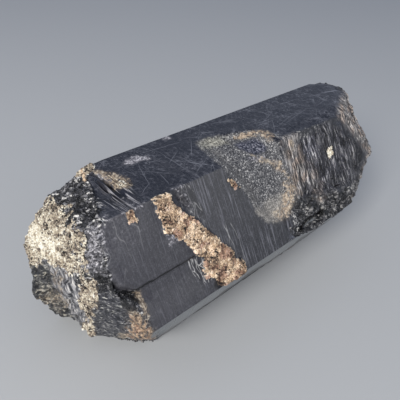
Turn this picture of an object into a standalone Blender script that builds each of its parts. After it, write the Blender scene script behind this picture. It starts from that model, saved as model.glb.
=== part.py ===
# Morion: a nearly black quartz crystal. A six-sided prism lies on one of its side faces, broken
# rough at both ends, with pale feldspar grown on it as a lumpy crust. It is one solid.
# Lengths are in millimetres until the mesh is scaled to metres. X runs along the crystal, from
# the near broken end to the far one, -Y is the front, and the base face lies on Z = 0. The
# finished solid's middle stands over the origin.
from math import cos, radians, sin

import bmesh
import bpy
import numpy as np
from mathutils import Vector, noise

NAME = "morion_crystal"
MM = 0.001
HEIGHT = 74.0
AXIS_HEIGHT = HEIGHT / 2
REMESH_SIZE = 1.15
TRIANGLES = 9400
# Vertices lower than this are laid on the base plane, and closer ones than this are merged
BASE_SNAP = 0.25
MERGE_DISTANCE = 0.08
SLOPE = sin(radians(60))

# Side faces: angle of the outward direction, from the back (+Y) towards the top (+Z), and
# distance from the crystal's long axis. Quartz keeps the angles and varies the distances.
SIDE_FACES = {
    "top": (90, HEIGHT - AXIS_HEIGHT),
    "front": (150, 33.3),
    "front_under": (210, 33.2),
    "base": (270, AXIS_HEIGHT),
    "back_under": (330, 35.6),
    "back": (30, 30.5),
}
# The edge between the top and the front face runs along X here
FRONT_EDGE_Y = -17.1
FRONT_WIDTH = 42.5

# Broken facets: side that the facet leans to (angle as above), lean from the long axis, and a
# point that it passes through
NEAR_FACETS = {
    "near_end": (85, 6, (-84, 20, 15)),
    "near_top": (68, 48, (-63, 13.9, 74)),
    "near_back": (20, 30, (-81.5, 33, 42)),
    "near_base": (229, 33, (-82, 20, 0)),
    "near_front_low": (222, 20, (-74, -37, 39.5)),
    "near_corner": (227, 53.4, (-73, -38.4, 37.2)),
}
FAR_FACETS = {
    "far_end": (0, 8, (83, 0, 45)),
    "far_front_top": (132, 62, (58, -17.1, 74)),
    "far_front": (165, 45, (72, -28, 55)),
    "far_front_low": (224, 51, (51, -37.4, 39)),
    "far_under": (250, 60, (48, -30, 20)),
    "far_top": (40, 50, (77, 13.9, 74)),
    "far_back": (20, 40, (77, 30, 50)),
    "far_back_low": (330, 45, (74, 30, 15)),
}

# Outlines of the surface patches on the unrolled top and front faces. "along" is X, "down" is the
# distance below the front edge on the front face, and is negative on the top face.
CRUST_DOWN = (-1, 8, 12, 14, 22, 28, 34, 36, 43)
CRUST_LEFT = (-58, -55, -57, -53, -48, -45, -47, -42, -38)
CRUST_RIGHT = (-49, -47, -44, -41, -36, -32, -29, -27, -25)
CRUST_HEIGHT = 1.7

SCOOP_DOWN = (-20, -13, 0, 12, 22, 27, 31)
SCOOP_LEFT = (-17, -22, -22, -17, -13, -10, -3)
SCOOP_RIGHT = (-9, 8, 11, 11, 11, 8, 0)
SCOOP_DEPTH = 2.4
SCOOP_EDGE_DEPTH = 2.0

LEDGE_START, LEDGE_END = -72, -47
LEDGE_DOWN = 25
LEDGE_DEPTH = 1.1

# Places where the broken ends stand out or are bitten in: centre, radius and shift along X
SHIFTS = (
    ((-73, 20, 66), 15, -4.2),
    ((-82, 26, 14), 15, -2.6),
    ((73, -6, 72), 16, 4.6),
    ((71, -30, 50), 15, 2.6),
    ((-79, 12, -1), 11, 9.0),
    ((-64, -12, 0), 9, 1.5),
)


def direction(angle):
    return Vector((0, cos(radians(angle)), sin(radians(angle))))


def side_planes():
    planes = {}
    for name, (angle, distance) in SIDE_FACES.items():
        normal = direction(angle)
        point = Vector((0, 0, AXIS_HEIGHT)) + normal * distance
        planes[name] = (normal, point)
    return planes


def end_planes(facets, sign):
    planes = {}
    for name, (angle, lean, point) in facets.items():
        normal = Vector((sign * cos(radians(lean)), 0, 0)) + direction(angle) * sin(radians(lean))
        planes[name] = (normal, Vector(point))
    return planes


def convex_block(planes):
    """A cube cut by every plane in turn, which leaves the crystal's ideal form."""
    block = bmesh.new()
    bmesh.ops.create_cube(block, size=400)
    for normal, point in planes:
        geometry = block.verts[:] + block.edges[:] + block.faces[:]
        cut = bmesh.ops.bisect_plane(block, geom=geometry, plane_co=point, plane_no=normal,
                                     clear_outer=True)
        rim = [item for item in cut["geom_cut"] if isinstance(item, bmesh.types.BMEdge)]
        if rim:
            bmesh.ops.edgeloop_fill(block, edges=rim)
    bmesh.ops.recalc_face_normals(block, faces=block.faces)
    return block


def to_object(source, name):
    mesh = bpy.data.meshes.new(name)
    source.to_mesh(mesh)
    source.free()
    item = bpy.data.objects.new(name, mesh)
    bpy.context.scene.collection.objects.link(item)
    return item


def apply_modifiers(item):
    bpy.context.view_layer.update()
    evaluated = item.evaluated_get(bpy.context.evaluated_depsgraph_get())
    mesh = bpy.data.meshes.new_from_object(evaluated)
    item.modifiers.clear()
    old = item.data
    item.data = mesh
    bpy.data.meshes.remove(old)


def smooth(value, low, high):
    """0 below low, 1 above high, and an even curve between."""
    share = np.clip((value - low) / (high - low), 0, 1)
    return share * share * (3 - 2 * share)


def bump(distance, radius):
    """1 at distance 0, fading to 0 at the radius."""
    return 1 - smooth(distance, 0, radius)


def rough(points, size, seed):
    """Even noise from about -1 to 1, with lumps of the given size."""
    shift = Vector((seed * 13.7, seed * 7.1, seed * 3.3))
    return np.array([noise.noise(Vector(point) / size + shift) for point in points]) * 1.6


def blocks(points, size, seed):
    """Stepped noise from -1 to 1: a flat height for each cell."""
    shift = Vector((seed * 13.7, seed * 7.1, seed * 3.3))
    return np.array([noise.cell(Vector(point) / size + shift) for point in points]) * 2 - 1


def grains(points, size, seed):
    """Rounded lumps side by side, 0 in the cracks between them and 1 on their tops."""
    shift = Vector((seed * 13.7, seed * 7.1, seed * 3.3))
    first = np.array([noise.voronoi(Vector(point) / size + shift)[0][0] for point in points])
    return np.clip(1 - first * 1.3, 0, 1)


def inner_distance(points, planes):
    """How far each point lies inside the nearest of the planes."""
    gaps = [(point.dot(normal) - points @ np.array(normal)) for normal, point in planes]
    return np.min(gaps, axis=0)


def unroll(points):
    """Distance below the front edge, along the front face or back along the top face."""
    on_top = (points[:, 2] > HEIGHT - 0.6) & (points[:, 1] > FRONT_EDGE_Y - 0.4)
    return np.where(on_top, FRONT_EDGE_Y - points[:, 1], (HEIGHT - points[:, 2]) / SLOPE)


def crust_weight(along, down, wobble):
    left = np.interp(down, CRUST_DOWN, CRUST_LEFT)
    right = np.interp(down, CRUST_DOWN, CRUST_RIGHT)
    inside = np.minimum(along - left, right - along) + wobble
    return smooth(inside, -0.4, 1.6) * smooth(down, -1.5, 1.5)


def scoop_inside(along, down):
    """How far a point lies inside the outline of the shell-shaped break."""
    left = np.interp(down, SCOOP_DOWN, SCOOP_LEFT)
    right = np.interp(down, SCOOP_DOWN, SCOOP_RIGHT)
    sides = np.minimum(along - left, right - along)
    return np.minimum(sides, np.minimum(down - SCOOP_DOWN[0], SCOOP_DOWN[-1] - down))


def front_relief(points, facing_front, along, down):
    """Crust, ledge, hollows and broken stretches of the front face, outwards in mm."""
    crust = crust_weight(along, down, rough(points, 5, 1) * 1.5)
    height = crust * (0.5 + CRUST_HEIGHT * (0.4 * grains(points, 5, 2) + 0.6 * grains(points, 2.6, 3)))
    hollow = bump(np.hypot(along + 39, down - 39), 5) * 2.0
    cleft = bump(np.abs(along + 46 - (down - 3) * 0.4), 1.6) * bump(np.abs(down - 4), 6) * 1.6
    height -= hollow + cleft

    below = smooth(down, LEDGE_DOWN - 0.4, LEDGE_DOWN + 0.5)
    within = smooth(along, LEDGE_START, LEDGE_START + 1.5) * (1 - smooth(along, LEDGE_END, LEDGE_END + 1.5))
    height -= LEDGE_DEPTH * below * within * (1 - crust)
    crevice = np.abs(down - 26 - 0.8 * (along + 73.5))
    height -= bump(crevice, 3.0) * bump(np.abs(along + 75), 8) * 3.2

    ridged = smooth(along, 12, 20) * (1 - smooth(down, 26, 31)) * smooth(down, 0.5, 4)
    stretched = points * np.array((1, 0.16, 0.16))
    height += ridged * (0.75 * rough(stretched, 2.6, 4) - 0.35)
    blocky = smooth(along, -2, 6) * smooth(down, 25, 30)
    height += blocky * (0.8 * blocks(points, 5, 5) + 0.6 * rough(points, 3, 6) - 0.8)
    flakes = bump(np.abs(along - 16), 6) * bump(np.abs(down - 13), 11)
    height += flakes * (0.8 * rough(stretched, 2.0, 7))
    return height * facing_front


def top_relief(points, facing_top, along, down):
    """Stepped grooves near the broken end and a worn stretch along the far front edge."""
    back = -down
    step = along + 60.5 + 0.35 * (back - 12) + 0.8 * rough(points, 8, 8)
    groove = bump(np.abs(step + 5), 1.5) * 1.5 + bump(np.abs(step + 1.6), 1.2) * 1.1
    terrace = (1 - smooth(step, -3.0, -2.0)) * 0.8 + (1 - smooth(step, 0.8, 1.6)) * 0.4
    height = -(groove + terrace) * bump(np.abs(back - 12), 17) * 1.2
    worn = smooth(along, 10, 24) * (1 - smooth(back, 3, 7))
    height -= worn * (0.5 + 0.5 * rough(points, 3, 9))
    return height * facing_top


def end_relief(points, end_weight):
    """Lumps, grains and ridges of the two broken ends."""
    near = points[:, 0] < 0
    lumps = 1.3 * rough(points, 13, 10) + 0.9 * rough(points, 6, 11) + 0.5 * rough(points, 3, 12)
    grown = 0.9 * grains(points, 4.5, 13) + 0.6 * grains(points, 2.5, 14) - 0.4
    steps = 0.8 * blocks(points * np.array((1, 1, 0.6)), 7, 15)
    band = smooth(points[:, 2], 22, 30)
    low_ridges = np.sin((points[:, 1] * 0.7 + points[:, 2]) * 1.5 + rough(points, 8, 16) * 2) * 0.7
    height = lumps + np.where(near, grown * band + low_ridges * (1 - band), steps)
    return height * end_weight


def chipped_edges(points, along, down, end_gap):
    """Small bites out of the rims of the ends, and the worn far stretches of the front's edges."""
    rim = bump(end_gap, 5) * np.clip(rough(points, 6, 17) + 0.2, 0, 1) * 1.4
    far_edge = smooth(along, 26, 50) * bump(np.abs(down), 7) * (1.3 + 0.9 * rough(points, 5, 18))
    low_rim = bump(np.abs(down - FRONT_WIDTH), 7)
    low_edge = smooth(along, 4, 18) * low_rim * (2.6 + 0.8 * rough(points, 4, 19))
    return -(rim + far_edge + low_edge)


def under_relief(points, facing):
    """Shallow growth terraces across the faces at the back and underneath."""
    crossing = points * np.array((1, 0.25, 0.25))
    terraces = np.tanh(3 * rough(crossing, 16, 20))
    return facing * (0.35 * terraces + 0.25 * rough(crossing, 8, 21) - 0.3)


def shape_surface(item, planes):
    """Moves each vertex of the fine block by the relief."""
    mesh = item.data
    count = len(mesh.vertices)
    points = np.empty(count * 3)
    mesh.vertices.foreach_get("co", points)
    points = points.reshape(-1, 3)
    normals = np.empty(count * 3)
    mesh.vertices.foreach_get("normal", normals)
    normals = normals.reshape(-1, 3)

    sides = [planes[name] for name in SIDE_FACES]
    ends = [planes[name] for name in planes if name not in SIDE_FACES]
    side_gap = inner_distance(points, sides)
    end_gap = inner_distance(points, ends)
    facing = {name: smooth(normals @ np.array(planes[name][0]), 0.86, 0.97) for name in SIDE_FACES}
    along = points[:, 0]
    down = unroll(points)
    down = np.where(facing["base"] + facing["back"] + facing["back_under"] > 0.5, 60, down)

    height = front_relief(points, facing["front"], along, down)
    height += top_relief(points, facing["top"], along, down)
    height += end_relief(points, smooth(side_gap, 0.6, 3.5))
    off_base = 1 - smooth(-normals[:, 2], 0.6, 0.9)
    hidden = facing["front_under"] + facing["back_under"] + facing["back"]
    height += chipped_edges(points, along, down, end_gap)
    height += under_relief(points, hidden * smooth(end_gap, 1, 6))
    moved = points + normals * (height * off_base)[:, None]
    for centre, radius, shift in SHIFTS:
        moved[:, 0] += bump(np.linalg.norm(points - np.array(centre), axis=1), radius) * shift

    depth = SCOOP_DEPTH * smooth(scoop_inside(along, down), -0.3, 7)
    depth += SCOOP_EDGE_DEPTH * smooth(scoop_inside(along, down), 0, 3) * bump(np.abs(down), 9)
    depth += smooth(scoop_inside(along, down), 0, 2) * 0.35 * rough(points, 3, 22)
    into = -(np.array(direction(SIDE_FACES["top"][0])) + np.array(direction(SIDE_FACES["front"][0])))
    into /= np.linalg.norm(into)
    moved += into * (depth * (facing["front"] + facing["top"] + bump(np.abs(down), 2)).clip(0, 1))[:, None]
    mesh.vertices.foreach_set("co", moved.ravel())
    mesh.update()


def finish_solid(item):
    """Lays the lowest vertices on Z = 0, centres the solid over the origin and brings it to metres."""
    solid = bmesh.new()
    solid.from_mesh(item.data)
    for vertex in solid.verts:
        if vertex.co.z < BASE_SNAP:
            vertex.co.z = 0
    bmesh.ops.remove_doubles(solid, verts=solid.verts, dist=MERGE_DISTANCE)
    bmesh.ops.dissolve_degenerate(solid, edges=solid.edges, dist=MERGE_DISTANCE)
    bmesh.ops.triangulate(solid, faces=solid.faces[:])
    bmesh.ops.recalc_face_normals(solid, faces=solid.faces)
    low = np.min([vertex.co for vertex in solid.verts], axis=0)
    high = np.max([vertex.co for vertex in solid.verts], axis=0)
    centre = Vector((low + high) / 2)
    bmesh.ops.translate(solid, vec=(-centre.x, -centre.y, 0), verts=solid.verts)
    bmesh.ops.scale(solid, vec=(MM, MM, MM), verts=solid.verts)
    solid.to_mesh(item.data)
    solid.free()


def morion_material():
    material = bpy.data.materials.new("morion_quartz")
    material.use_nodes = True
    shader = material.node_tree.nodes["Principled BSDF"]
    shader.inputs["Base Color"].default_value = (0.035, 0.036, 0.042, 1)
    shader.inputs["Roughness"].default_value = 0.35
    shader.inputs["Metallic"].default_value = 0.0
    material.diffuse_color = (0.05, 0.05, 0.06, 1)
    return material


def build_crystal():
    planes = side_planes()
    base_normal, base_point = planes["base"]
    planes["base"] = (base_normal, base_point + base_normal * 0.4)
    planes.update(end_planes(NEAR_FACETS, -1))
    planes.update(end_planes(FAR_FACETS, 1))
    item = to_object(convex_block(planes.values()), NAME)
    fine = item.modifiers.new("Fine surface", "REMESH")
    fine.mode = "VOXEL"
    fine.voxel_size = REMESH_SIZE
    apply_modifiers(item)
    shape_surface(item, planes)
    even = item.modifiers.new("Even surface", "REMESH")
    even.mode = "VOXEL"
    even.voxel_size = REMESH_SIZE * 0.8
    apply_modifiers(item)
    fewer = item.modifiers.new("Fewer triangles", "DECIMATE")
    fewer.ratio = TRIANGLES / (2 * len(item.data.polygons))
    fewer.use_collapse_triangulate = True
    apply_modifiers(item)
    finish_solid(item)
    item.data.materials.append(morion_material())
    return item


def main():
    for item in list(bpy.data.objects):
        bpy.data.objects.remove(item, do_unlink=True)
    crystal = build_crystal()
    collection = bpy.data.collections.new(NAME)
    bpy.context.scene.collection.children.link(collection)
    bpy.context.scene.collection.objects.unlink(crystal)
    collection.objects.link(crystal)


main()
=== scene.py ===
# Looks for the morion quartz crystal: one nearly black quartz prism with a pale feldspar crust.
# Shapes are worked out in millimetres in the crystal's own frame, where X runs along the crystal
# from the near broken end to the far one, -Y is the front and the base face lies on Z = 0.
from math import cos, radians, sin

import bmesh
import bpy
import numpy as np
from mathutils import Euler, Matrix, Vector, noise


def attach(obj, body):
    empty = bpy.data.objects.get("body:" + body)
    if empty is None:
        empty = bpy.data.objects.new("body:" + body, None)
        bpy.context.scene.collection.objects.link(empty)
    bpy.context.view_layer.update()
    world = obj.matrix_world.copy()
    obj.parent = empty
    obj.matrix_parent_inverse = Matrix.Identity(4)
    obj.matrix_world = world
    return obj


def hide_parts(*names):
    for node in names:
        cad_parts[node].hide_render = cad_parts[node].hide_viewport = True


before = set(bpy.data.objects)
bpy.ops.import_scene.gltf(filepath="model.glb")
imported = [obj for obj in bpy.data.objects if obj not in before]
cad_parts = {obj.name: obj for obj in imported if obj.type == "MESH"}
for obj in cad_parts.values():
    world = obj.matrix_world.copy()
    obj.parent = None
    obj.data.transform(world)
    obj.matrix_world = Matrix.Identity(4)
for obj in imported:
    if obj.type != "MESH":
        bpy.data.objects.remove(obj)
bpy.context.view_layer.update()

NODE = "morion_crystal"
MM = 0.001
# From the crystal's own frame to the middle of its footprint
TO_FRAME = (1.15, 0.61, 0)

HEIGHT = 74.0
AXIS_HEIGHT = HEIGHT / 2
FRONT_EDGE_Y = -17.1
FRONT_WIDTH = 42.5
SLOPE = sin(radians(60))
# "Down" value of every point on the base and the back, where no outline reaches
OUT_OF_SIGHT = 60
REMESH_SIZE = 1.12
BASE_SNAP = 0.25
SHARP_ANGLE = radians(38)
# Cosines between which a spot comes to count as facing the way that a side face does
FACING = (0.86, 0.97)
QUICK_SHARE = 1
# Loose grains: how many, how wide in mm, how deep they are bedded as a share of that, and how
# much each is stretched, turned and varied in tone
GRAIN_COUNT, GRAIN_SIZES = 8000, (0.5, 1.25)
CHIP_COUNT, CHIP_SIZES, CHIP_TINT = 1700, (0.4, 0.8), 0.28
BEDDED = 0.05
STRETCHES = ((0.7, 0.6, 0.45), (1.3, 1.1, 0.9))
FULL_TURN = 6.28
TINT_SPREAD = 0.22
QUARTZ_IOR, FELDSPAR_IOR = 1.544, 1.53
# Finishes of the near end whose streaks take the place of chips
STREAKED = ("combed", "raked", "lined")

# Camera: place in metres, azimuth, downward pitch and roll in degrees, sensor and lens in mm
CAMERA_PLACE = (-0.12865, -0.11289, 0.1614)
CAMERA_TURN = (44.71, 35.72, 3.65)
CAMERA_LENS = (36, 40.96)

# Side faces: angle of the outward direction, from the back (+Y) towards the top (+Z), and
# distance from the crystal's long axis
SIDE_FACES = {
    "top": (90, HEIGHT - AXIS_HEIGHT),
    "front": (150, 33.3),
    "front_low_edge": (200, 34.5),
    "front_under": (210, 33.2),
    "base": (270, AXIS_HEIGHT),
    "back_under": (330, 35.6),
    "back": (30, 30.5),
}
# Broken facets: side that the facet leans to, lean from the long axis, and a point on it
NEAR_FACETS = {
    "near_end": (85, 6, (-84, 20, 15)),
    "near_top": (68, 48, (-63, 13.9, 74)),
    "near_back": (20, 30, (-81.5, 33, 42)),
    "near_base": (229, 33, (-82, 20, 0)),
    "near_front_low": (222, 20, (-74, -37, 39.5)),
    "near_corner": (227, 53.4, (-73, -38.4, 37.2)),
}
FAR_FACETS = {
    "far_end": (0, 8, (83, 0, 45)),
    "far_front_top": (132, 62, (58, -17.1, 74)),
    "far_front": (165, 45, (72, -28, 55)),
    "far_front_low": (224, 51, (51, -37.4, 39)),
    "far_under": (250, 60, (48, -30, 20)),
    "far_top": (40, 50, (77, 13.9, 74)),
    "far_back": (20, 40, (77, 30, 50)),
    "far_back_low": (330, 45, (74, 30, 15)),
}

# The diagonal band of crust on the front face and the shell-shaped break. "down" is the distance
# below the front edge along the front face, and is negative on the top face.
CRUST_DOWN = (-1, 8, 12, 14, 22, 28, 34, 36, 43)
CRUST_LEFT = (-58, -55, -57, -53, -48, -45, -47, -42, -38)
CRUST_RIGHT = (-49, -47, -44, -41, -36, -32, -29, -27, -25)
CRUST_HEIGHT = 1.7
# A bite out of the crust's lower end and a hollow in it, as (X, down), both 5 mm in radius
CRUST_BITE, CRUST_HOLLOW, HOLLOW_RADIUS = (-41.5, 41.5), (-39, 39), 5
SCOOP_DOWN = (-20, -13, 0, 12, 22, 27, 31)
SCOOP_LEFT = (-17, -22, -22, -17, -13, -10, -3)
SCOOP_RIGHT = (-9, 8, 11, 11, 11, 8, 0)
SCOOP_DEPTH = 2.4
SCOOP_EDGE_DEPTH = 2.0
LEDGE_START, LEDGE_END = -72, -47
LEDGE_DOWN = 25
LEDGE_DEPTH = 1.1
LEDGE_HEIGHT = 53.1
SHIFTS = (
    ((-73, 20, 66), 15, -4.2),
    ((-82, 26, 14), 15, -2.6),
    ((73, -6, 72), 16, 4.6),
    ((71, -30, 50), 15, 2.6),
    ((-79, 12, -1), 11, 9.0),
    ((-64, -12, 0), 9, 1.5),
)

# Straight scratches across the top face, as (X, distance back from the front edge) at both ends,
# and half their width in mm where they begin to show and where they are clearest
SCRATCH_EDGE, SCRATCH_CORE = 0.15, 0.02
SCRATCHES = (
    ((-35, 25.3), (-35, 0.5)), ((-34, 3.2), (-23, 9.4)), ((-38, 14), (-28, 20)),
    ((-29, 2), (-31, 16)), ((-52, 6), (-46, 22)), ((-12, 22), (-22, 27)), ((8, 18), (34, 15)),
    ((22, 9), (48, 14)), ((30, 17), (44, 8)), ((50, 12), (66, 15)), ((-46, 3), (-44, 12)),
    ((14, 15), (30, 21)), ((11, 15.5), (25, 14.8)), ((28, 12.6), (44, 12.7)),
    ((43, 12.8), (49, 5)), ((18, 9.5), (35, 13.5)), ((33, 24), (54, 23)), ((-57, 5), (-50, 9)),
    ((-50, 18), (-40, 8)), ((-63, 10), (-54, 8)), ((-28, 12), (-18, 24)), ((-44, 27), (-20, 24)),
)

# The seam between the near end's two dark facets, where feldspar and a tan stain lie
SEAM = ((-7, 45), (-12, 49), (-17, 51), (-17, 43), (-8, 25), (-3, 8), (3, -2), (8, 0), (-1, 14),
        (-5, 27), (-7, 39))

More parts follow.
